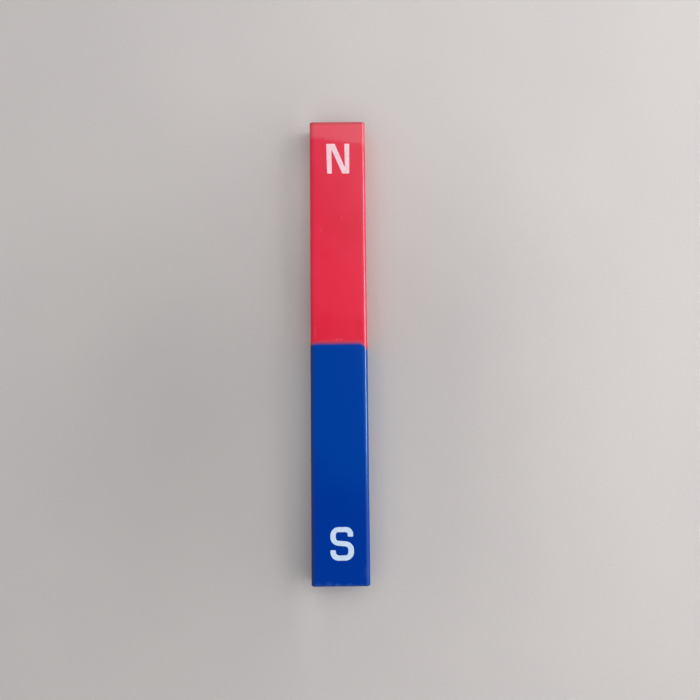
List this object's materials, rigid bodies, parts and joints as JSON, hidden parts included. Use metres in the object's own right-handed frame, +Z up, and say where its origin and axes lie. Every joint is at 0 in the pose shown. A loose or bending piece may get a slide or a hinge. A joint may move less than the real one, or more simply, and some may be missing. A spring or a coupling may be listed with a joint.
{
  "type": "bar magnet",
  "caption": "Rectangular bar magnet with rounded edges, red enamel at the north pole and a blue dip coat over the south half.",
  "frame": {"origin": "middle of the footprint, on the surface that the bar lies on", "axes": "+Y along the bar towards the north pole, +Z up out of the broad face that carries the pole letters, +X across the bar"},
  "size_m": [0.0222, 0.18, 0.01],
  "materials": {
    "red_enamel": "smooth semi-gloss enamel, paler towards the north end",
    "blue_enamel": "smooth semi-gloss dipped enamel"
  },
  "bodies": {
    "root": {"magnet_bar": "red_enamel", "south_coat": "blue_enamel"}
  },
  "joints": []
}
